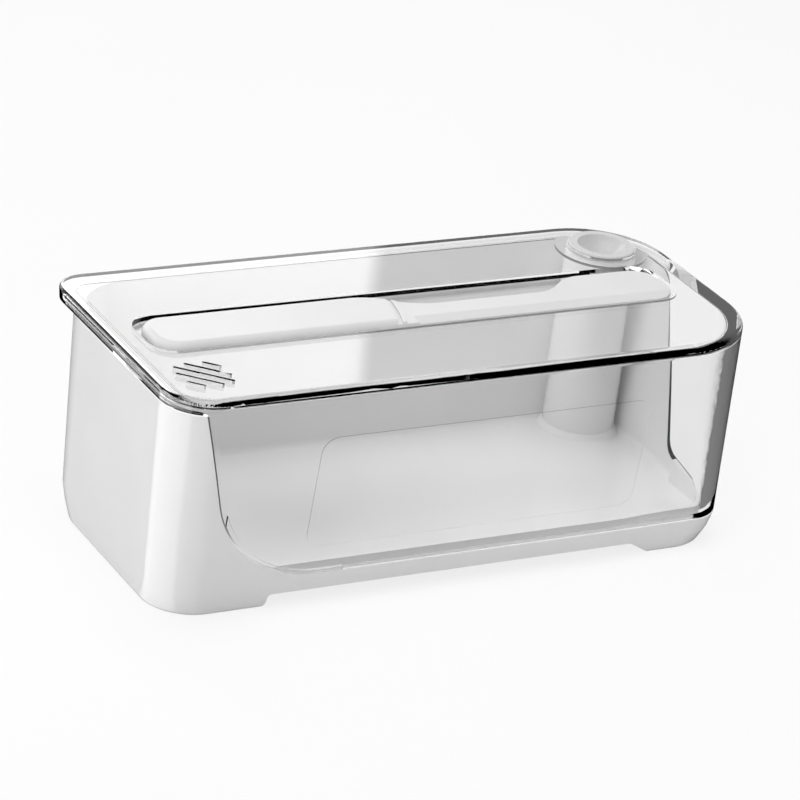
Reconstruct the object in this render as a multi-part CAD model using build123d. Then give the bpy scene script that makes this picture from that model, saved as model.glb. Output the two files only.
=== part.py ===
from build123d import *
import math
import os

# Lidded butter box: a white tray, a clear lid that swings about a post in one corner, and a butter
# knife stored in a recess of the lid. Millimetres. +X to the right, +Y to the back, +Z up, with the
# origin on the table under the middle of the lid.

# ---------------------------------------------------------------- overall
lid_length = 190.0              # across the lid, X
lid_width = 87.3                # across the lid, Y
lid_top = 67.6                  # height of the lid's plate above the table
foot_length = 182.0             # outline where the box stands, X
foot_width = 75.0               # outline where the box stands, Y

# corner radii, in the order front left, front right, back right, back left
foot_radii = (14.5, 16.8, 15.0, 17.5)
crease_radii = (12.9, 12.8, 13.0, 13.8)
ledge_radii = (12.4, 11.0, 12.0, 12.0)
tray_top_radii = (13.5, 28.0, 25.0, 23.0)
lid_top_radii = (13.5, 28.0, 25.0, 9.5)
crease_height = 4.4             # soft crease round the corners, above the feet
ledge_height = 9.0              # the lid's front wall stands above this ledge

# ---------------------------------------------------------------- clearances
rest_gap = 0.3                  # between pieces that move past each other
wall_gap = 0.4                  # between the lid's walls and the edges of the tray's cut-out
bore_clearance = 0.08           # radial, lid on the barrel of the cap
barrel_clearance = 0.05         # radial, barrel of the cap in the post

# ---------------------------------------------------------------- lid
plate_thickness = 2.8
lid_wall = 4.2
lid_edge_depth = 3.6            # thicker edge of the plate, from the lid's top down
lid_edge_round = 0.9            # upper edge of the lid
lid_inner_round = 0.7           # between the plate and the walls or the thicker edge

recess_length = 170.0
recess_width = 24.0
recess_depth = 1.8
recess_radius = 8.0
recess_inset = 8.9              # from the lid's left end
recess_offset = 1.3             # middle of the recess behind the middle of the lid

vent_lengths = (5.6, 13.8, 17.6, 13.8, 5.6)
vent_pitch = 3.5
vent_width = 1.0
vent_turn = -43.0
vent_inset_x = 15.5             # middle of the vents from the lid's left end
vent_inset_y = 18.7             # middle of the vents from the lid's front

panel_left = -50.0              # bare raised field on the lid's front wall
panel_right = 55.5
panel_bottom = 18.0
panel_top = 53.0
panel_rise = 0.15
proud_root = 1.0                # how deep the panel and the grip reach into the wall they stand on
panel_radius = 5.0

grip_thickness = 1.3            # lip along the lid's lower left edge, to push with a finger
grip_rise = 0.8
grip_start = -76.0
grip_end = -37.0

# ---------------------------------------------------------------- tray
tray_wall = 3.0
skirt_wall = 3.0                # wall below the floor
floor_top = 9.6
floor_thickness = 2.6
floor_fillet = 2.0
foot_round = 1.0                # lower edge, where the box stands
arch_height = 3.9               # low arch between the feet, front and back
arch_round = 1.4
toe_round = 2.4                 # between the arch and the foot's sole
left_foot = 32.0                # length of the left feet
right_foot = 32.0               # length of the right feet, at the arch
right_foot_slope = 7.0          # run of the right feet's sloping inner ends

front_lean = 15.0               # lean of the cut-out's left edge, degrees
front_corner_inset = 8.6        # its top, from the lid's left end
front_sweep_radius = 35.0
side_lean = 15.2                # lean of the cut-out's right edge, measured round the pivot
side_corner_reach = 22.9        # its top, from the pivot axis
side_corner_radius = 5.5
side_foot_reach = 66.0          # where the ledge is level again, from the pivot axis
side_climb = 12.0               # climb of the ledge along the right side, degrees
side_sweep_radius = 6.0
side_blend_radius = 40.0

lip_height = 2.5                # lip behind the lid's walls, above the ledge
lip_thickness = 1.4
lip_gap = 0.5
lip_back_reach = 42.0           # where the lip starts, from the pivot axis
lip_left_inset = 37.0           # where the lip ends, from the lid's left end

# ---------------------------------------------------------------- pivot
pivot_inset_x = 16.7            # pivot axis from the lid's right end
pivot_inset_y = 15.0            # pivot axis from the lid's back
barrel_radius = 8.0
post_wall = 2.5
post_draft = 0.4                # growth of the post's radius down to the floor
post_foot_round = 1.5
core_radius = 7.0               # hollow of the post below its web
barrel_length = 21.6            # of the cap, from the lid's top down to the web in the post
web_thickness = 3.0
flange_radius = 10.0
flange_seat = 1.6               # depth of the flange's lower face below the lid's top
cap_rise = 0.4                  # top of the cap above the lid
flange_bevel = 0.3
dish_radius = 7.3
dish_depth = 4.0
barrel_wall = 1.8
boss_radius = 3.4
boss_depth = 14.0               # length of the screw boss inside the barrel
pad_radius = 14.0               # full-thickness pad of the lid round the pivot

# ---------------------------------------------------------------- screw
screw_radius = 1.5
thread_clearance = 0.02         # radial, thread in the boss
screw_length = 12.0
screw_point = 1.5               # length of the pointed end
screw_tip_radius = 0.5
head_radius = 2.9
head_height = 2.0
head_bevel = 0.8

# ---------------------------------------------------------------- knife
knife_gap = 2.4                 # to the recess, at the handle's end and along both sides
tip_gap = 0.9                   # to the recess, at the blade's tip
knife_rise = 0.8                # top of the handle above the lid
handle_round = 2.0
handle_radius = 7.0
handle_length = 77.0            # from the handle's end to the shoulder
handle_taper = 26.0             # stretch over which the back edge drops to the blade's neck
taper_lead = 11.0               # the drop starts this far before the shoulder
neck_width = 11.3
blade_drop = 0.2                # top of the blade below the top of the lid
blade_edge = 0.8                # thickness of the blade at its cutting edge
blade_bevel = 4.2               # width of the ground strip along the cutting edge
tip_length = 24.0               # full-width end of the blade
flare_length = 18.0             # stretch over which the blade widens towards its tip
shoulder_radius = 57.0          # curve of the shoulder across the knife
ridge_width = 1.3               # low rib across the neck, past the shoulder
ridge_step = 1.6
ridge_rise = 0.5

# ---------------------------------------------------------------- derived
half_lid_length = lid_length / 2
half_lid_width = lid_width / 2
recess_base = lid_top - recess_depth
edge_bottom = lid_top - lid_edge_depth
plate_bottom = lid_top - plate_thickness
web_top = lid_top - barrel_length
rim_top = edge_bottom - rest_gap
floor_bottom = floor_top - floor_thickness
pivot_x = half_lid_length - pivot_inset_x
pivot_y = half_lid_width - pivot_inset_y
post_radius = barrel_radius + barrel_clearance + post_wall
lip_inset = lid_wall + lip_gap
recess_left = -half_lid_length + recess_inset
recess_right = recess_left + recess_length
recess_front = recess_offset - recess_width / 2
recess_back = recess_offset + recess_width / 2
beyond = 20.0                   # how far cutting shapes run past what they cut
far_reach = 2 * lid_length      # a length that no part of the box reaches
levels = (0.0, crease_height, ledge_height, lid_top)  # where the corner radii are set


def section(z, radii, inset=0.0):
    """Outline of the box at height z: a rectangle that grows with z, and four corner radii that change
    evenly from one of the levels to the next."""
    share = z / lid_top
    half_x = foot_length / 2 + share * (lid_length - foot_length) / 2 - inset
    half_y = foot_width / 2 + share * (lid_width - foot_width) / 2 - inset
    tables = (foot_radii, crease_radii, ledge_radii, radii)
    step = sum(z > level for level in levels[1:-1])
    step_share = max(z - levels[step], 0) / (levels[step + 1] - levels[step])
    front_left, front_right, back_right, back_left = (
        low + step_share * (high - low) - inset for low, high in zip(tables[step], tables[step + 1])
    )
    edges = [
        Line((-half_x + front_left, -half_y), (half_x - front_right, -half_y)),
        CenterArc((half_x - front_right, -half_y + front_right), front_right, -90, 90),
        Line((half_x, -half_y + front_right), (half_x, half_y - back_right)),
        CenterArc((half_x - back_right, half_y - back_right), back_right, 0, 90),
        Line((half_x - back_right, half_y), (-half_x + back_left, half_y)),
        CenterArc((-half_x + back_left, half_y - back_left), back_left, 90, 90),
        Line((-half_x, half_y - back_left), (-half_x, -half_y + front_left)),
        CenterArc((-half_x + front_left, -half_y + front_left), front_left, 180, 90),
    ]
    return Pos(0, 0, z) * Face(Wire(edges))


def drafted(z_low, z_high, radii, inset=0.0):
    """Solid of the box's tapering outline between two heights."""
    heights = [z_low, *(level for level in levels if z_low < level < z_high), z_high]
    return loft([section(z, radii, inset) for z in heights], ruled=True)


def rounded_outline(corners):
    """Closed face through (x, y, corner radius) corners."""
    points = [(x, y) for x, y, radius in corners]
    radii = [radius for x, y, radius in corners]
    return make_face(FilletPolyline(*points, radius=radii, close=True))


def about_pivot(face):
    """Ring swept by a face of (distance from the pivot axis, height) round the pivot axis."""
    return Pos(pivot_x, pivot_y, 0) * revolve(Plane.XZ * face, Axis.Z, 360)


def along_y(face, y_low, y_high):
    """Prism of a face of (x, height), from y_low to y_high."""
    return Pos(0, y_low, 0) * extrude(Plane.XZ * face, amount=-(y_high - y_low))


def disc(radius, z_low, z_high):
    """Cylinder on the pivot axis."""
    return Pos(pivot_x, pivot_y, (z_low + z_high) / 2) * Cylinder(radius, z_high - z_low)


def turned(points):
    """Solid turned about the pivot axis from its half outline of (radius, height) points."""
    return about_pivot(make_face(Polyline(*points, close=True)))


def ledge_at(reach):
    """Height of the ledge at a distance from the pivot axis: level in front, climbing on the right."""
    return ledge_height + max(0.0, side_foot_reach - reach) * math.tan(math.radians(side_climb))


def cut_out(clearance=0.0):
    """Space of the lid's walls in the tray's front and right side, drawn in by a clearance. Its right
    edge is turned about the pivot axis, so that the lid passes the tray at every angle."""
    climb = math.tan(math.radians(side_climb))
    lean = math.tan(math.radians(side_lean))
    meet_top = ledge_height + climb * (side_foot_reach - side_corner_reach - lean * rim_top)
    meet_height = meet_top / (1 - climb * lean)
    meet_reach = side_corner_reach + (rim_top - meet_height) * lean
    side_face = rounded_outline(
        [
            (post_radius, rim_top, 0),
            (side_corner_reach, rim_top, side_corner_radius),
            (meet_reach, meet_height, side_sweep_radius),
            (side_foot_reach, ledge_height, side_blend_radius),
            (far_reach, ledge_height, 0),
            (far_reach, lid_top + beyond, 0),
            (post_radius, lid_top + beyond, 0),
        ]
    )
    lean = math.tan(math.radians(front_lean))
    corner_x = -half_lid_length + front_corner_inset
    front_face = rounded_outline(
        [
            (corner_x - beyond * lean, rim_top + beyond, 0),
            (corner_x + (rim_top - ledge_height) * lean, ledge_height, front_sweep_radius),
            (lid_length, ledge_height, 0),
            (lid_length, rim_top + beyond, 0),
        ]
    )
    if clearance:
        side_face = offset(side_face, -clearance)
        front_face = offset(front_face, -clearance)
    front = along_y(front_face, -lid_width, pivot_y - post_radius)
    return front & about_pivot(side_face)


def make_tray():
    """White moulded box: drafted walls on a skirt with two end feet, a post for the lid in the back
    right corner, and a deep cut-out in the front and right sides with a lip behind it."""
    outside = drafted(0, rim_top, tray_top_radii)
    outside = fillet(outside.faces().sort_by(Axis.Z)[0].edges(), foot_round)
    inside = drafted(floor_top, lid_top, tray_top_radii, tray_wall)
    inside = fillet(inside.faces().sort_by(Axis.Z)[0].edges(), floor_fillet)
    underside = drafted(-beyond, floor_bottom, tray_top_radii, skirt_wall)

    shell = outside - make_arch(-lid_width, 0) - make_arch(0, lid_width)
    wall_band = cut_out() - drafted(0, lid_top + 2 * beyond, tray_top_radii, lip_inset)
    tray = shell - inside - underside - wall_band

    lip_face = make_face(
        Polyline(
            (lip_back_reach, floor_top - lip_thickness),
            (far_reach, floor_top - lip_thickness),
            (far_reach, ledge_height + lip_height),
            (side_foot_reach, ledge_height + lip_height),
            (lip_back_reach, ledge_at(lip_back_reach) + lip_height),
            close=True,
        )
    )
    lip_band = drafted(0, lid_top, tray_top_radii, lip_inset)
    lip_band -= drafted(0, lid_top, tray_top_radii, lip_inset + lip_thickness)
    lip_left = -half_lid_length + lip_left_inset
    lip_reach = Pos(lip_left, pivot_y - post_radius, 0) * Box(
        far_reach, far_reach, lid_top, align=(Align.MIN, Align.MAX, Align.MIN)
    )
    tray += lip_band & about_pivot(lip_face) & lip_reach

    post_low = post_radius + post_draft
    post = turned(
        [
            (0, floor_bottom),
            (post_low + post_foot_round, floor_bottom),
            (post_low + post_foot_round, floor_top),
            (post_low, floor_top + post_foot_round),
            (post_radius, rim_top),
            (0, rim_top),
        ]
    )
    corner = Pos(pivot_x, pivot_y, floor_bottom) * Box(
        far_reach, far_reach, rim_top - floor_bottom, align=Align.MIN
    )
    tray += (post + corner) & outside
    tray -= disc(barrel_radius + barrel_clearance, web_top, rim_top + beyond)
    tray -= disc(screw_radius + rest_gap, floor_bottom, web_top + beyond)
    tray -= disc(core_radius, floor_bottom, web_top - web_thickness)
    return tray


def make_arch(y_low, y_high):
    """Low arch through the front or the back skirt, between the two end feet."""
    left = -foot_length / 2 + left_foot
    right = foot_length / 2 - right_foot + right_foot_slope
    face = rounded_outline(
        [
            (left - beyond, 0, 0),
            (left, 0, toe_round),
            (left, arch_height, arch_round),
            (right - right_foot_slope, arch_height, arch_round),
            (right, 0, toe_round),
            (right + beyond, 0, 0),
            (right + beyond, -beyond, 0),
            (left - beyond, -beyond, 0),
        ]
    )
    return along_y(face, y_low, y_high)


def make_lid():
    """Clear plate with a thicker edge that sits over the tray's rim, and the front and right walls that
    fill the tray's cut-out."""
    hollow = drafted(0, plate_bottom, lid_top_radii, lid_wall)
    hollow = fillet(hollow.faces().sort_by(Axis.Z)[-1].edges(), lid_inner_round)
    plate = drafted(edge_bottom, lid_top, lid_top_radii) - hollow
    plate = fillet(plate.faces().sort_by(Axis.Z)[-1].edges(), lid_edge_round)
    pivot_pad = disc(pad_radius, edge_bottom, plate_bottom)
    plate += pivot_pad & drafted(edge_bottom, plate_bottom, lid_top_radii)

    walls = drafted(0, plate_bottom, lid_top_radii) - hollow
    walls &= cut_out(wall_gap)
    lid = plate + walls + make_panel() + make_grip()

    lid -= recess_block(recess_base, lid_top + beyond)
    lid -= disc(barrel_radius + bore_clearance, edge_bottom - beyond, lid_top + beyond)
    lid -= disc(flange_radius + rest_gap, lid_top - flange_seat - rest_gap, lid_top + beyond)
    lid -= make_vents()
    return lid


def recess_block(z_low, z_high):
    """Solid of the recess's outline."""
    outline = RectangleRounded(recess_length, recess_width, recess_radius)
    middle = Pos((recess_left + recess_right) / 2, recess_offset, z_low)
    return middle * extrude(outline, amount=z_high - z_low)


def proud_of_wall(rise):
    """Skin that stands proud of the outside of the lid's walls."""
    skin = drafted(0, plate_bottom, lid_top_radii, -rise)
    return skin - drafted(0, plate_bottom, lid_top_radii, proud_root)


def make_panel():
    """Bare raised field in the middle of the lid's front wall."""
    field = Pos((panel_left + panel_right) / 2, (panel_bottom + panel_top) / 2) * RectangleRounded(
        panel_right - panel_left, panel_top - panel_bottom, panel_radius
    )
    return proud_of_wall(panel_rise) & along_y(field, -lid_width, 0)


def make_grip():
    """Low lip along the lower left edge of the lid's front wall, where a finger pushes it."""
    edge = cut_out(wall_gap) - cut_out(wall_gap + grip_thickness)
    reach = Pos((grip_start + grip_end) / 2, -lid_width / 2, rim_top / 2) * Box(
        grip_end - grip_start, lid_width, rim_top
    )
    return proud_of_wall(grip_rise) & edge & reach


def make_vents():
    """Five diagonal slots through the plate."""
    slots = []
    for index, length in enumerate(vent_lengths):
        across = (index - (len(vent_lengths) - 1) / 2) * vent_pitch
        slots.append(Pos(0, across) * SlotOverall(length, vent_width))
    middle = Pos(-half_lid_length + vent_inset_x, -half_lid_width + vent_inset_y, plate_bottom - beyond)
    return middle * Rot(0, 0, vent_turn) * extrude(Sketch() + slots, amount=2 * beyond)


def make_pivot_cap():
    """White cap that holds the lid down: a flange let into the lid, a dish in its top, and a hollow
    barrel in the post with a boss for the screw."""
    cap_top = lid_top + cap_rise
    dish_base = cap_top - dish_depth
    cap = disc(flange_radius, lid_top - flange_seat, cap_top) + disc(barrel_radius, web_top, cap_top)
    cap = chamfer(cap.faces().sort_by(Axis.Z)[-1].edges(), flange_bevel)
    dish_sphere = (dish_radius**2 + dish_depth**2) / (2 * dish_depth)
    cap -= Pos(pivot_x, pivot_y, dish_base + dish_sphere) * Sphere(dish_sphere)
    hollow_top = dish_base - barrel_wall
    hollow = disc(barrel_radius - barrel_wall, web_top, hollow_top)
    hollow -= disc(boss_radius, web_top, hollow_top)
    cap -= hollow
    return cap - disc(screw_radius + thread_clearance, web_top, web_top + boss_depth)


def make_pivot_screw():
    """Pan-head screw, up through the post's web into the cap's boss."""
    seat = web_top - web_thickness
    screw = disc(screw_radius, seat, seat + screw_length - screw_point)
    tip = Pos(pivot_x, pivot_y, seat + screw_length - screw_point / 2) * Cone(
        screw_radius, screw_tip_radius, screw_point
    )
    head = disc(head_radius, seat - head_height, seat)
    head = chamfer(head.faces().sort_by(Axis.Z)[0].edges(), head_bevel)
    return screw + tip + head


def past_shoulder(x, z):
    """Everything above height z and past a curved line across the knife at x."""
    centre_x = x - shoulder_radius
    block = Pos(centre_x, recess_back, z) * Box(
        far_reach, 2 * lid_width, beyond, align=(Align.MIN, Align.CENTER, Align.MIN)
    )
    round_end = Pos(centre_x, recess_back, z) * Cylinder(
        shoulder_radius, beyond, align=(Align.CENTER, Align.CENTER, Align.MIN)
    )
    return block - round_end


def knife_plan(left, right, front, back):
    """Outline of the knife seen from above: the cutting edge is straight, and the back drops at the
    shoulder and rises again before the tip."""
    neck_back = front + neck_width
    tip_x = right - tip_length
    taper_x = left + handle_length - taper_lead
    run = (-1, 0)
    edges = [
        Line((left, front), (right, front)),
        Line((right, front), (right, back)),
        Line((right, back), (tip_x, back)),
        Spline((tip_x, back), (tip_x - flare_length, neck_back), tangents=[run, run]),
        Line((tip_x - flare_length, neck_back), (taper_x + handle_taper, neck_back)),
        Spline((taper_x + handle_taper, neck_back), (taper_x, back), tangents=[run, run]),
        Line((taper_x, back), (left, back)),
        Line((left, back), (left, front)),
    ]
    plan = make_face(Wire(edges))
    plan = fillet(plan.vertices().group_by(Axis.X)[0], handle_radius)
    return fillet(plan.vertices().group_by(Axis.X)[-1], recess_radius - tip_gap)


def make_knife():
    """White moulded butter knife that lies in the lid's recess: a broad handle with rounded sides, a
    curved shoulder with a low rib, and a thin blade with a ground edge."""
    left = recess_left + knife_gap
    front = recess_front + knife_gap
    base = recess_base + rest_gap
    handle_top = lid_top + knife_rise
    blade_top = lid_top - blade_drop
    shoulder_x = left + handle_length

    plan = knife_plan(left, recess_right - tip_gap, front, recess_back - knife_gap)
    knife = Pos(0, 0, base) * extrude(plan, amount=handle_top - base)
    knife = fillet(knife.faces().sort_by(Axis.Z)[-1].edges(), handle_round)

    rib_x = shoulder_x + ridge_step
    rib = past_shoulder(rib_x, blade_top) - past_shoulder(rib_x + ridge_width, blade_top)
    rib -= past_shoulder(rib_x - shoulder_radius, blade_top + ridge_rise)
    knife -= past_shoulder(shoulder_x, blade_top) - rib

    ground = Plane.YZ * make_face(
        Polyline(
            (front - knife_gap, base + blade_edge),
            (front, base + blade_edge),
            (front + blade_bevel, blade_top),
            (front + blade_bevel, blade_top + beyond),
            (front - knife_gap, blade_top + beyond),
            close=True,
        )
    )
    knife -= Pos(rib_x + ridge_width, 0, 0) * extrude(ground, amount=far_reach)
    return knife


os.makedirs("parts", exist_ok=True)
for node, shape in (
    ("tray", make_tray()),
    ("lid", make_lid()),
    ("knife", make_knife()),
    ("pivot_cap", make_pivot_cap()),
    ("pivot_screw", make_pivot_screw()),
):
    export_step(shape, f"parts/{node}.step")
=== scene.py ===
# %% [markdown]
# # A butter box with a clear swinging lid
# The box is a white moulded shell with a low arch under its front. A clear lid turns on a post in
# one back corner, and a butter knife lies in a groove in the lid. The solids come from a packed
# CAD model, the fixed frame: every piece keeps the size and the place that the frame gives it.
# This lesson adds what the solids lack, which is light, skin, a softer front edge for the lid,
# the thread of the screw and a camera.

# %% Load the frame
import math

import bmesh
import bpy
from mathutils import Matrix, Vector


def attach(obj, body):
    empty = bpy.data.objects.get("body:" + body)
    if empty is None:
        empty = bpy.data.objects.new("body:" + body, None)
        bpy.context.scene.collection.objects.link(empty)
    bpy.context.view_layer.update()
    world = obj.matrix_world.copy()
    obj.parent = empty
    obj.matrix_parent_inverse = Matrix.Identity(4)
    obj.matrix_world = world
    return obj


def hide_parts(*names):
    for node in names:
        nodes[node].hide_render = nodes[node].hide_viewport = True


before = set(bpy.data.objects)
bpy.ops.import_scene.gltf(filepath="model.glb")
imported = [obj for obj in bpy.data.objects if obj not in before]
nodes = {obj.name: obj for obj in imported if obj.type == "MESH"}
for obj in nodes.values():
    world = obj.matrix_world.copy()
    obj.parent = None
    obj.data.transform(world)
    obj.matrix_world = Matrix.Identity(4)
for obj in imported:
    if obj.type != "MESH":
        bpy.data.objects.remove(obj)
scene = bpy.context.scene
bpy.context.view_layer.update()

# %% [markdown]
# ## Camera
# The box is seen from its front left, a little from above, with a long lens, so that its edges
# stay nearly parallel. A camera could be aimed by hand or by a Track To constraint. Here its place
# is worked out from a turn round the box, a height and a distance, and the small roll comes last.

# %% Camera
IMAGE_WIDTH = 800
SENSOR_WIDTH = 36.0
FOCAL_PIXELS = 3921.1
AZIMUTH, ELEVATION, ROLL = (math.radians(v) for v in (-31.69, 24.885, 7.871))
DISTANCE = 1.1367
SIDE_STEP = -0.00156
UP_STEP = 0.03502

back = Vector(
    (
        math.sin(AZIMUTH) * math.cos(ELEVATION),
        -math.cos(AZIMUTH) * math.cos(ELEVATION),
        math.sin(ELEVATION),
    )
)
right = (-back).cross(Vector((0, 0, 1))).normalized()
up = right.cross(-back)
camera_data = bpy.data.cameras.new("camera")
camera_data.sensor_width = SENSOR_WIDTH
camera_data.lens = FOCAL_PIXELS / IMAGE_WIDTH * SENSOR_WIDTH
camera_data.clip_start = 0.01
camera = bpy.data.objects.new("camera", camera_data)
place = Matrix((right, up, back)).transposed().to_4x4()
place.translation = back * DISTANCE + right * SIDE_STEP + up * UP_STEP
camera.matrix_world = place @ Matrix.Rotation(ROLL, 4, "Z")
scene.collection.objects.link(camera)
scene.camera = camera
print("camera at", [round(v, 3) for v in camera.matrix_world.translation])

# %% [markdown]
# ## Helpers for node trees
# Every material, the studio and the screw are trees of nodes. A few short helpers keep the cells
# that build them readable: they add a node with its plain inputs, start an empty tree, chain sums
# and soft steps, and spread a noise between two values. Writing each tree out in full would work
# as well, but would hide its idea.

# %% Helpers for node trees
NOISE_MIDDLE = (0.3, 0.7)


def add_node(tree, kind, values=None, **settings):
    node = tree.nodes.new(kind)
    for name, value in settings.items():
        setattr(node, name, value)
    for name, value in (values or {}).items():
        node.inputs[name].default_value = value
    return node


def start_tree(owner, last_kind):
    owner.use_nodes = True
    owner.node_tree.nodes.clear()
    return owner.node_tree, add_node(owner.node_tree, last_kind)


def feed(tree, source, socket):
    """Joins a socket to an input, or writes a plain number into it."""
    if isinstance(source, bpy.types.NodeSocket):
        tree.links.new(source, socket)
    else:
        socket.default_value = source


def calc(tree, operation, first, second=0.0):
    node = add_node(tree, "ShaderNodeMath", operation=operation)
    feed(tree, first, node.inputs[0])
    feed(tree, second, node.inputs[1])
    return node.outputs[0]


def soft_step(tree, value, start, end, low=0.0, high=1.0):
    node = add_node(tree, "ShaderNodeMapRange", interpolation_type="SMOOTHSTEP")
    for source, socket in zip((value, start, end, low, high), node.inputs):
        feed(tree, source, socket)
    return node.outputs[0]


def spread_noise(tree, noise, low, high, middle=NOISE_MIDDLE):
    """Spreads the middle of a noise, where most of its values lie, from low to high."""
    return soft_step(tree, noise.outputs["Fac"], *middle, low, high)


def mix_shaders(tree, share, first, second):
    node = add_node(tree, "ShaderNodeMixShader")
    feed(tree, share, node.inputs["Fac"])
    tree.links.new(first, node.inputs[1])
    tree.links.new(second, node.inputs[2])
    return node.outputs[0]


print("helpers ready")

# %% [markdown]
# ## Paper floor
# The box stands on a white paper sweep. A ray from the camera, or one that has come through the
# clear lid, mostly sees a sheet that shines by itself, so the background is white. The rest of the
# sheet is plain paper, which keeps the soft shadow round the feet. For a ray that was turned once
# inside the lid's wall, the sheet's colour and glow are painted darker: a painted dark reflection
# that stands in for a studio whose sides are draped in black. A lamp on the sheet would also whiten
# it, but would light the box as well.

# %% Paper floor
FLOOR_REACH = 3.0
PAPER_SHINE = 0.8
PAPER_WHITE = 0.8
PAPER_TONES = 0.02
FIBRE_SCALE = 60.0
TURNED_ONCE = 3
PAINTED_DARK_REFLECTION = 0.75


def turned_once(tree, path):
    """One for a ray that a clear wall has turned once on its way through."""
    return calc(tree, "COMPARE", path.outputs["Ray Depth"], TURNED_ONCE)


floor_mesh = bpy.data.meshes.new("floor")
floor_corners = ((-1, -1), (1, -1), (1, 1), (-1, 1))
floor_points = [(x * FLOOR_REACH, y * FLOOR_REACH, 0) for x, y in floor_corners]
floor_mesh.from_pydata(floor_points, [], [(0, 1, 2, 3)])
floor = bpy.data.objects.new("floor", floor_mesh)
scene.collection.objects.link(floor)
floor.visible_glossy = False

floor_material = bpy.data.materials.new("floor_paper")
tree, output = start_tree(floor_material, "ShaderNodeOutputMaterial")
path = add_node(tree, "ShaderNodeLightPath")
# Painted dark reflection: for a ray that the lid's wall turned once, the sheet's colour and glow
# are dimmed.
lit = calc(tree, "SUBTRACT", 1.0, calc(tree, "MULTIPLY", turned_once(tree, path), PAINTED_DARK_REFLECTION))
seen = calc(tree, "MAXIMUM", path.outputs["Is Camera Ray"], path.outputs["Is Transmission Ray"])
fibres = add_node(tree, "ShaderNodeTexNoise", {"Scale": FIBRE_SCALE, "Detail": 4.0})
tone = spread_noise(tree, fibres, PAPER_WHITE - PAPER_TONES, PAPER_WHITE)
paper = add_node(tree, "ShaderNodeBsdfDiffuse")
tree.links.new(calc(tree, "MULTIPLY", tone, lit), paper.inputs["Color"])
shine = add_node(tree, "ShaderNodeEmission")
tree.links.new(lit, shine.inputs["Strength"])
glow_share = calc(tree, "MULTIPLY", seen, PAPER_SHINE)
sheet = mix_shaders(tree, glow_share, paper.outputs[0], shine.outputs[0])
tree.links.new(sheet, output.inputs["Surface"])
floor_mesh.materials.append(floor_material)
print("floor", 2 * FLOOR_REACH, "m wide")

# %% [markdown]
# ## Studio
# What makes clear plastic readable is what it mirrors. A tall bright screen stands behind the box,
# and the flat of the lid mirrors it: white up to the screen's right edge, grey beyond. A second
# screen at the front left gives the shell's corner its bright stripe. Above the screens the room
# is dark, so rounded edges turn black. The camera itself sees plain white behind the box, and
# shading gets an even room light. Glowing planes could stand for the screens, but a world that is
# reckoned from the direction of a ray keeps them out of the way of the real lamps.

# %% Studio
ROOM_LIGHT = 0.56
SCREENS = (
    # left and right turn, lower and upper height, edge softness, all in degrees, and brightness
    (-26.0, 31.0, 8.0, 28.5, 0.2, 1.85),
    (-126.0, -31.0, -70.0, -6.0, 0.8, 2.8),
)
WALL_LIGHT = 1.15
CEILING_START, CEILING_END = 28.0, 36.0
TABLE_START, TABLE_END = -12.0, 4.0


def between(tree, value, low, high, softness):
    """One between low and high, none outside, with soft edges."""
    rise = soft_step(tree, value, low - softness, low + softness)
    fall = soft_step(tree, value, high - softness, high + softness, 1.0, 0.0)
    return calc(tree, "MULTIPLY", rise, fall)


world = bpy.data.worlds.new("studio")
scene.world = world
tree, output = start_tree(world, "ShaderNodeOutputWorld")
way = add_node(tree, "ShaderNodeTexCoord")
axes = add_node(tree, "ShaderNodeSeparateXYZ")
tree.links.new(way.outputs["Generated"], axes.inputs[0])
turn = calc(tree, "DEGREES", calc(tree, "ARCTAN2", axes.outputs["X"], axes.outputs["Y"]))
height = calc(tree, "DEGREES", calc(tree, "ARCSINE", axes.outputs["Z"]))
under_ceiling = soft_step(tree, height, CEILING_START, CEILING_END, WALL_LIGHT, 0.0)
mirrored = calc(tree, "MULTIPLY", under_ceiling, soft_step(tree, height, TABLE_START, TABLE_END))
for left, far, low, high, softness, brightness in SCREENS:
    patch = calc(
        tree,
        "MULTIPLY",
        between(tree, turn, left, far, softness),
        between(tree, height, low, high, softness),
    )
    mirrored = calc(tree, "ADD", mirrored, calc(tree, "MULTIPLY", patch, brightness))
path = add_node(tree, "ShaderNodeLightPath")
room = add_node(tree, "ShaderNodeBackground", {"Strength": ROOM_LIGHT})
screens = add_node(tree, "ShaderNodeBackground")
tree.links.new(mirrored, screens.inputs["Strength"])
backdrop = add_node(tree, "ShaderNodeBackground", {"Strength": 1.0})
inside = mix_shaders(tree, path.outputs["Is Glossy Ray"], room.outputs[0], screens.outputs[0])
around = mix_shaders(tree, path.outputs["Is Camera Ray"], inside, backdrop.outputs[0])
tree.links.new(around, output.inputs["Surface"])
scene.view_settings.view_transform = "Standard"
print("screens:", len(SCREENS))

# %% [markdown]
# ## Softboxes
# Three square softboxes shade the white pieces: a strong one above, one at the left and a weak one
# at the right. Small spots would do it too, but draw hard shadows. The softboxes are hidden from
# mirrors and from the clear lid, which see only the screens.

# %% Softboxes
SOFTBOXES = (
    # name, place, point aimed at, side, power in watts
    ("top_softbox", (-0.2, 0.2, 1.2), (0, 0, 0), 1.2, 11),
    ("left_softbox", (-1.2, -0.3, 0.6), (0, 0, 0.03), 0.8, 5.3),
    ("right_softbox", (1.0, -0.9, 0.5), (0, 0, 0.03), 0.8, 1.3),
)

for name, place, aim, side, power in SOFTBOXES:
    data = bpy.data.lights.new(name, "AREA")
    data.shape = "RECTANGLE"
    data.size = data.size_y = side
    data.energy = power
    lamp = bpy.data.objects.new(name, data)
    lamp.location = place
    lamp.rotation_euler = (Vector(aim) - Vector(place)).to_track_quat("-Z", "Y").to_euler()
    lamp.visible_glossy = False
    lamp.visible_transmission = False
    scene.collection.objects.link(lamp)
print("softboxes:", len(SOFTBOXES))

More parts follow.
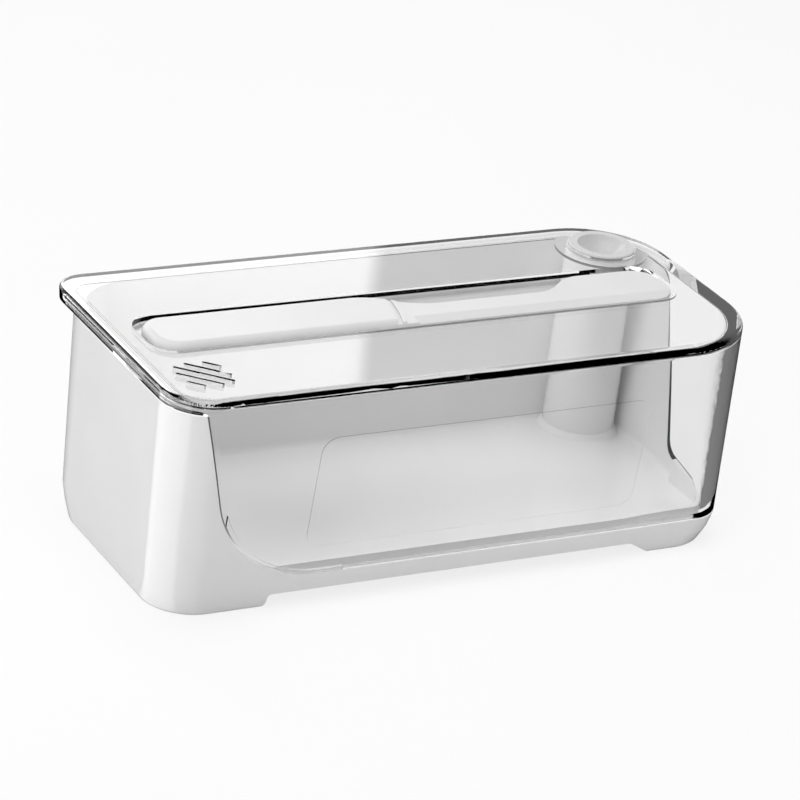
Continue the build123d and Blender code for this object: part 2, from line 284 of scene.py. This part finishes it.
# %% [markdown]
# ## White moulded plastic
# The shell, the cap and the knife are polypropylene: a pale skin with a soft shine, never quite
# even. A flat colour would look like paint. Two layers of noise stand for the mould's fine grain
# and for the slow waves that cooling leaves, and they change the roughness, the tone and the
# surface a little. The knife's grain is drawn out along the knife, as its mould was brushed.

# %% White moulded plastic
PLASTIC_IOR = 1.5
WAVE_SCALE, GRAIN_SCALE = 35.0, 1400.0
GRAIN_MIDDLE = (0.25, 0.75)
TONE_SPREAD = 0.012
GRAIN_STRENGTH, GRAIN_DEPTH = 0.6, 0.0001


def moulded_plastic(name, white, roughness, grain=(1.0, 1.0, 1.0), spread=0.04):
    """The grain sets how far the noise is drawn out, the spread how uneven the shine is."""
    material = bpy.data.materials.new(name)
    tree, output = start_tree(material, "ShaderNodeOutputMaterial")
    place = add_node(tree, "ShaderNodeTexCoord")
    stretch = add_node(tree, "ShaderNodeMapping", {"Scale": grain})
    tree.links.new(place.outputs["Object"], stretch.inputs["Vector"])
    waves = add_node(tree, "ShaderNodeTexNoise", {"Scale": WAVE_SCALE, "Detail": 2.0})
    fine = add_node(tree, "ShaderNodeTexNoise", {"Scale": GRAIN_SCALE, "Detail": 3.0})
    tree.links.new(place.outputs["Object"], waves.inputs["Vector"])
    tree.links.new(stretch.outputs["Vector"], fine.inputs["Vector"])
    tone = spread_noise(tree, waves, white - TONE_SPREAD, white + TONE_SPREAD)
    dullness = spread_noise(tree, fine, roughness - spread, roughness + spread, GRAIN_MIDDLE)
    relief = add_node(tree, "ShaderNodeBump", {"Strength": GRAIN_STRENGTH})
    relief.inputs["Distance"].default_value = GRAIN_DEPTH * spread
    tree.links.new(fine.outputs["Fac"], relief.inputs["Height"])
    skin = add_node(tree, "ShaderNodeBsdfPrincipled", {"IOR": PLASTIC_IOR})
    tree.links.new(tone, skin.inputs["Base Color"])
    tree.links.new(dullness, skin.inputs["Roughness"])
    tree.links.new(relief.outputs["Normal"], skin.inputs["Normal"])
    tree.links.new(skin.outputs[0], output.inputs["Surface"])
    return material


def paint(node_name, material):
    for slot in nodes[node_name].material_slots:
        slot.material = material


paint("tray", moulded_plastic("shell_white", 0.84, 0.2))
brushed = (0.2, 1.0, 1.0)
# The knife and the cap get darker copies of the shell's white: painted shade on the same plastic.
paint("knife", moulded_plastic("knife_shaded_white", 0.66, 0.26, grain=brushed, spread=0.012))
paint("pivot_cap", moulded_plastic("cap_shaded_white", 0.55, 0.3))
print("white pieces: tray, knife, pivot_cap")

# %% [markdown]
# ## Clear plastic
# The lid is clear styrene. Light that has bounced many times inside the plate comes out dark,
# because it has run through centimetres of plastic and met only the dark room. Absorption could do
# it, but would grey the whole lid, so here the plastic turns black by the number of turns that a
# ray has made. Light that shades the tray passes straight through the lid, and faint waves in the
# surface keep the mirror alive.

# %% Clear plastic
CLEAR_TINT = 0.99
LAST_CLEAR_TURN, FIRST_BLACK_TURN = 3.0, 4.0
RIPPLE_SCALE, RIPPLE_STRENGTH, RIPPLE_DEPTH = 26.0, 0.3, 0.00002


def clear_plastic(name):
    material = bpy.data.materials.new(name)
    tree, output = start_tree(material, "ShaderNodeOutputMaterial")
    place = add_node(tree, "ShaderNodeTexCoord")
    waves = add_node(tree, "ShaderNodeTexNoise", {"Scale": RIPPLE_SCALE, "Detail": 1.0})
    tree.links.new(place.outputs["Object"], waves.inputs["Vector"])
    ripple = add_node(tree, "ShaderNodeBump", {"Strength": RIPPLE_STRENGTH})
    ripple.inputs["Distance"].default_value = RIPPLE_DEPTH
    tree.links.new(waves.outputs["Fac"], ripple.inputs["Height"])
    clear = add_node(tree, "ShaderNodeBsdfPrincipled", {"Roughness": 0.0, "IOR": PLASTIC_IOR})
    clear.inputs["Base Color"].default_value = (CLEAR_TINT, CLEAR_TINT, CLEAR_TINT, 1)
    clear.inputs["Transmission Weight"].default_value = 1.0
    tree.links.new(ripple.outputs["Normal"], clear.inputs["Normal"])
    path = add_node(tree, "ShaderNodeLightPath")
    lost = add_node(tree, "ShaderNodeBsdfDiffuse", {"Color": (0, 0, 0, 1)})
    turns = soft_step(tree, path.outputs["Ray Depth"], LAST_CLEAR_TURN, FIRST_BLACK_TURN)
    seen = mix_shaders(tree, turns, clear.outputs[0], lost.outputs[0])
    open_way = add_node(tree, "ShaderNodeBsdfTransparent")
    light_ray = calc(tree, "MAXIMUM", path.outputs["Is Shadow Ray"], path.outputs["Is Diffuse Ray"])
    whole = mix_shaders(tree, light_ray, seen, open_way.outputs[0])
    tree.links.new(whole, output.inputs["Surface"])
    return material


print("clear plastic ready")

# %% [markdown]
# ## The lid's outline
# The lid's top edge is about to be reshaped, and for that each point of it needs to know which spot
# of the lid's outline it belongs to. The outline could be written out from the sizes of the solid,
# but then it would no longer follow a change of them. So the mesh itself is cut by a level plane,
# and the longest chain of cut edges is the outline.

# %% The lid's outline
SAME_POINT = 0.000001


def outline_at(mesh, height):
    """The outer outline of the mesh where a level plane cuts it."""
    cut_mesh = bmesh.new()
    cut_mesh.from_mesh(mesh)
    bmesh.ops.remove_doubles(cut_mesh, verts=cut_mesh.verts, dist=SAME_POINT)
    pieces = [*cut_mesh.verts, *cut_mesh.edges, *cut_mesh.faces]
    level = {"plane_co": (0, 0, height), "plane_no": (0, 0, 1)}
    cut = bmesh.ops.bisect_plane(cut_mesh, geom=pieces, **level)["geom_cut"]
    spare = dict.fromkeys(piece for piece in cut if isinstance(piece, bmesh.types.BMEdge))
    outlines = []
    while spare:
        step = next(iter(spare))
        chain = [step.verts[0]]
        while step is not None:
            del spare[step]
            chain.append(step.other_vert(chain[-1]))
            step = next((edge for edge in chain[-1].link_edges if edge in spare), None)
        outlines.append([vert.co.xy.copy() for vert in chain])
    cut_mesh.free()
    return max(outlines, key=lambda outline: max(p.x for p in outline) - min(p.x for p in outline))


def nearest_on(outline, point):
    """The spot of the outline that lies nearest to a point."""
    best = None
    for start, end in zip(outline, outline[1:] + outline[:1]):
        along = end - start
        share = (point - start).dot(along) / max(along.length_squared, 1e-18)
        spot = start + along * min(1.0, max(0.0, share))
        if best is None or (point - spot).length < (point - best).length:
            best = spot
    return best


print("outline tools ready")

# %% [markdown]
# ## The lid's soft front edge
# Over its hanging front wall the lid's top rolls off gently, and then turns down in a tight curve.
# The solid carries one small round edge all the way. A bevel modifier would have to find that edge
# again, so the round's own points are moved instead: each keeps its angle on the curve, and the
# curve grows from a small circle into a flat ellipse over the front wall. The solid's own normals
# are kept and only tilted, because they hold the flat of the lid perfectly flat in a mirror.

# %% The lid's soft front edge
SOLID_ROUND = 0.0009
ROLL_WIDTH, ROLL_DROP = 0.0039, 0.0014
ROLL_START_Y, ROLL_BLEND = -0.032, 0.009
HAIR = 0.00001
LEAST_UPWARD = 0.05


def wall_share(spot):
    """One over the lid's front wall, none along its other edges, smooth between."""
    share = min(1.0, max(0.0, (ROLL_START_Y - spot.y) / ROLL_BLEND))
    return share * share * (3 - 2 * share)


def roll_edge(mesh):
    """Moves the points of the upper round in place, tilts their normals and counts them."""
    normals = [Vector(normal.vector) for normal in mesh.corner_normals]
    top = max(vert.co.z for vert in mesh.vertices)
    outline = outline_at(mesh, top - SOLID_ROUND - 2 * HAIR)
    tilts = {}
    for vert in mesh.vertices:
        rise = vert.co.z - (top - SOLID_ROUND)
        if rise < -2 * HAIR:
            continue
        point = vert.co.xy
        spot = nearest_on(outline, point)
        inset = (spot - point).length
        if inset > SOLID_ROUND + 4 * HAIR or (rise < 2 * HAIR and inset > 5 * HAIR):
            continue
        share = wall_share(spot)
        width = SOLID_ROUND + share * (ROLL_WIDTH - SOLID_ROUND)
        drop = SOLID_ROUND + share * (ROLL_DROP - SOLID_ROUND)
        out = (spot - point).normalized() if inset > 3 * HAIR else Vector((0, 0))
        cosine = max(0.0, 1 - inset / SOLID_ROUND)
        sine = min(1.0, max(0.0, rise / SOLID_ROUND))
        moved = spot - out * width * (1 - cosine)
        vert.co = (moved.x, moved.y, top - drop * (1 - sine))
        tilts[vert.index] = drop / width
    for loop in mesh.loops:
        tilt = tilts.get(loop.vertex_index)
        normal = normals[loop.index]
        if tilt is not None and normal.z > LEAST_UPWARD:
            normals[loop.index] = Vector((normal.x * tilt, normal.y * tilt, normal.z)).normalized()
    mesh.normals_split_custom_set([tuple(normal) for normal in normals])
    return len(tilts)


lid_mesh = nodes["lid"].data.copy()
moved_points = roll_edge(lid_mesh)
lid_mesh.materials.clear()
lid_mesh.materials.append(clear_plastic("lid_clear"))
clear_lid = bpy.data.objects.new("clear_lid", lid_mesh)
scene.collection.objects.link(clear_lid)
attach(clear_lid, "lid")
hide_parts("lid")
print("points moved on the lid's edge:", moved_points)

# %% [markdown]
# ## Steel for the screw
# The screw is turned from steel wire and zinc plated, which leaves fine rings round its axis. An
# even metal would look like a mirror of the studio. Noise that is squeezed along the axis stands
# for the rings, and changes only the roughness.

# %% Steel for the screw
STEEL_COLOUR = (0.6, 0.6, 0.58, 1)
LEAST_DULL, MOST_DULL = 0.25, 0.45
RING_SCALE, RING_SQUEEZE = 900.0, 12.0


def turned_steel(name):
    material = bpy.data.materials.new(name)
    tree, output = start_tree(material, "ShaderNodeOutputMaterial")
    place = add_node(tree, "ShaderNodeTexCoord")
    squeeze = add_node(tree, "ShaderNodeMapping", {"Scale": (1.0, 1.0, RING_SQUEEZE)})
    tree.links.new(place.outputs["Object"], squeeze.inputs["Vector"])
    rings = add_node(tree, "ShaderNodeTexNoise", {"Scale": RING_SCALE, "Detail": 2.0})
    tree.links.new(squeeze.outputs["Vector"], rings.inputs["Vector"])
    metal = add_node(tree, "ShaderNodeBsdfPrincipled", {"Metallic": 1.0})
    metal.inputs["Base Color"].default_value = STEEL_COLOUR
    dullness = spread_noise(tree, rings, LEAST_DULL, MOST_DULL)
    tree.links.new(dullness, metal.inputs["Roughness"])
    tree.links.new(metal.outputs[0], output.inputs["Surface"])
    return material


print("steel ready")

# %% [markdown]
# ## Pivot screw
# A small steel screw holds the cap in the post. The solid is plain, and the real screw has a
# thread and a cross recess for the driver. A thread follows a rule, one turn for each pitch, so
# Geometry Nodes winds it from a spiral and a three-sided profile. Modelling it by hand would take
# as long again for every new length.

# %% Pivot screw
SCREW = {
    "Shank length": 0.0105,
    "Core radius": 0.0012,
    "Crest radius": 0.0015,
    "Pitch": 0.0009,
    "Point length": 0.0015,
    "Point radius": 0.0005,
    "Head radius": 0.0029,
    "Head height": 0.0020,
    "Head bevel": 0.0004,
    "Recess width": 0.0007,
    "Recess depth": 0.0012,
}
ROUND_SIDES, SPIRAL_STEPS, THREAD_SIDES = 48, 32, 3
ARM_REACH = 1.2  # length of the cross recess, as a share of the head's radius


def screw_tree():
    """The screw about the Z axis: head below zero, shank and point above it."""
    tree = bpy.data.node_groups.new("wound_screw", "GeometryNodeTree")
    tree.interface.new_socket("Screw", in_out="OUTPUT", socket_type="NodeSocketGeometry")
    for name in SCREW:
        tree.interface.new_socket(name, in_out="INPUT", socket_type="NodeSocketFloat")
    size = add_node(tree, "NodeGroupInput").outputs

    def raised(geometry, height):
        place = add_node(tree, "ShaderNodeCombineXYZ")
        feed(tree, height, place.inputs["Z"])
        move = add_node(tree, "GeometryNodeTransform")
        tree.links.new(geometry, move.inputs["Geometry"])
        tree.links.new(place.outputs[0], move.inputs["Translation"])
        return move.outputs[0]

    def round_bar(low_radius, high_radius, length, start):
        bar = add_node(tree, "GeometryNodeMeshCone", {"Vertices": ROUND_SIDES})
        feed(tree, low_radius, bar.inputs["Radius Bottom"])
        feed(tree, high_radius, bar.inputs["Radius Top"])
        feed(tree, length, bar.inputs["Depth"])
        return raised(bar.outputs["Mesh"], start)

    def driver_slot(x_size, y_size):
        corner = add_node(tree, "ShaderNodeCombineXYZ")
        feed(tree, x_size, corner.inputs["X"])
        feed(tree, y_size, corner.inputs["Y"])
        feed(tree, calc(tree, "MULTIPLY", size["Recess depth"], 2.0), corner.inputs["Z"])
        block = add_node(tree, "GeometryNodeMeshCube")
        tree.links.new(corner.outputs[0], block.inputs["Size"])
        return raised(block.outputs["Mesh"], head_top)

    shank = size["Shank length"]
    core_radius = size["Core radius"]
    head_radius = size["Head radius"]
    head_top = calc(tree, "MULTIPLY", size["Head height"], -1.0)
    bevel_end = calc(tree, "ADD", head_top, size["Head bevel"])
    bevel_radius = calc(tree, "SUBTRACT", head_radius, size["Head bevel"])
    core = round_bar(core_radius, core_radius, shank, 0.0)
    point = round_bar(core_radius, size["Point radius"], size["Point length"], shank)
    head_side = calc(tree, "MULTIPLY", bevel_end, -1.0)
    head = round_bar(head_radius, head_radius, head_side, bevel_end)
    bevel = round_bar(bevel_radius, head_radius, size["Head bevel"], head_top)
    whole_head = add_node(tree, "GeometryNodeMeshBoolean", operation="UNION", solver="EXACT")
    for part in (head, bevel):
        tree.links.new(part, whole_head.inputs["Mesh 2"])
    recess = add_node(tree, "GeometryNodeMeshBoolean", operation="DIFFERENCE", solver="EXACT")
    tree.links.new(whole_head.outputs["Mesh"], recess.inputs["Mesh 1"])
    arm = calc(tree, "MULTIPLY", head_radius, ARM_REACH)
    for block in (driver_slot(arm, size["Recess width"]), driver_slot(size["Recess width"], arm)):
        tree.links.new(block, recess.inputs["Mesh 2"])

    crest = calc(tree, "SUBTRACT", size["Crest radius"], core_radius)
    spiral = add_node(tree, "GeometryNodeCurveSpiral", {"Resolution": SPIRAL_STEPS})
    feed(tree, calc(tree, "DIVIDE", shank, size["Pitch"]), spiral.inputs["Rotations"])
    feed(tree, core_radius, spiral.inputs["Start Radius"])
    feed(tree, core_radius, spiral.inputs["End Radius"])
    feed(tree, shank, spiral.inputs["Height"])
    profile = add_node(tree, "GeometryNodeCurvePrimitiveCircle", {"Resolution": THREAD_SIDES})
    tree.links.new(crest, profile.inputs["Radius"])
    thread = add_node(tree, "GeometryNodeCurveToMesh", {"Fill Caps": True})
    tree.links.new(spiral.outputs[0], thread.inputs["Curve"])
    tree.links.new(profile.outputs["Curve"], thread.inputs["Profile Curve"])

    joined = add_node(tree, "GeometryNodeJoinGeometry")
    for part in (core, point, recess.outputs["Mesh"], thread.outputs["Mesh"]):
        tree.links.new(part, joined.inputs[0])
    realized = add_node(tree, "GeometryNodeRealizeInstances")
    tree.links.new(joined.outputs[0], realized.inputs[0])
    coated = add_node(tree, "GeometryNodeSetMaterial", {"Material": turned_steel("turned_steel")})
    tree.links.new(realized.outputs[0], coated.inputs["Geometry"])
    tree.links.new(coated.outputs[0], add_node(tree, "NodeGroupOutput").inputs[0])
    return tree


tree = screw_tree()
print("nodes in the screw's tree:", len(tree.nodes))

# %% [markdown]
# ## Winding and seating the screw
# The tree's inputs get the sizes above, and the result becomes a plain mesh that no longer needs
# the tree. It is then moved to the place of the solid screw, with the driver's recess facing down,
# and rides on the tray like the solid. Keeping the modifier would leave the place of the screw in
# two hands, the tree's and the frame's.

# %% Winding and seating the screw
SHARP_ANGLE = math.radians(35)


def wind_screw(tree):
    solid = [vert.co for vert in nodes["pivot_screw"].data.vertices]
    low = [min(point[axis] for point in solid) for axis in range(3)]
    high = [max(point[axis] for point in solid) for axis in range(3)]
    piece = bpy.data.objects.new("threaded_screw", bpy.data.meshes.new("threaded_screw"))
    scene.collection.objects.link(piece)
    winder = piece.modifiers.new("wound_screw", "NODES")
    winder.node_group = tree
    for item in tree.interface.items_tree:
        if item.in_out == "INPUT":
            winder[item.identifier] = SCREW[item.name]
    graph = bpy.context.evaluated_depsgraph_get()
    made = bpy.data.meshes.new_from_object(piece.evaluated_get(graph))
    piece.modifiers.clear()
    seat = low[2] + SCREW["Head height"]
    made.transform(Matrix.Translation(((low[0] + high[0]) / 2, (low[1] + high[1]) / 2, seat)))
    made.set_sharp_from_angle(angle=SHARP_ANGLE)
    steel = made.materials[-1]
    made.materials.clear()
    made.materials.append(steel)
    piece.data = made
    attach(piece, "tray")
    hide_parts("pivot_screw")
    return piece


screw = wind_screw(tree)
turns = SCREW["Shank length"] / SCREW["Pitch"]
print("screw:", len(screw.data.polygons), "faces,", round(turns, 1), "turns")
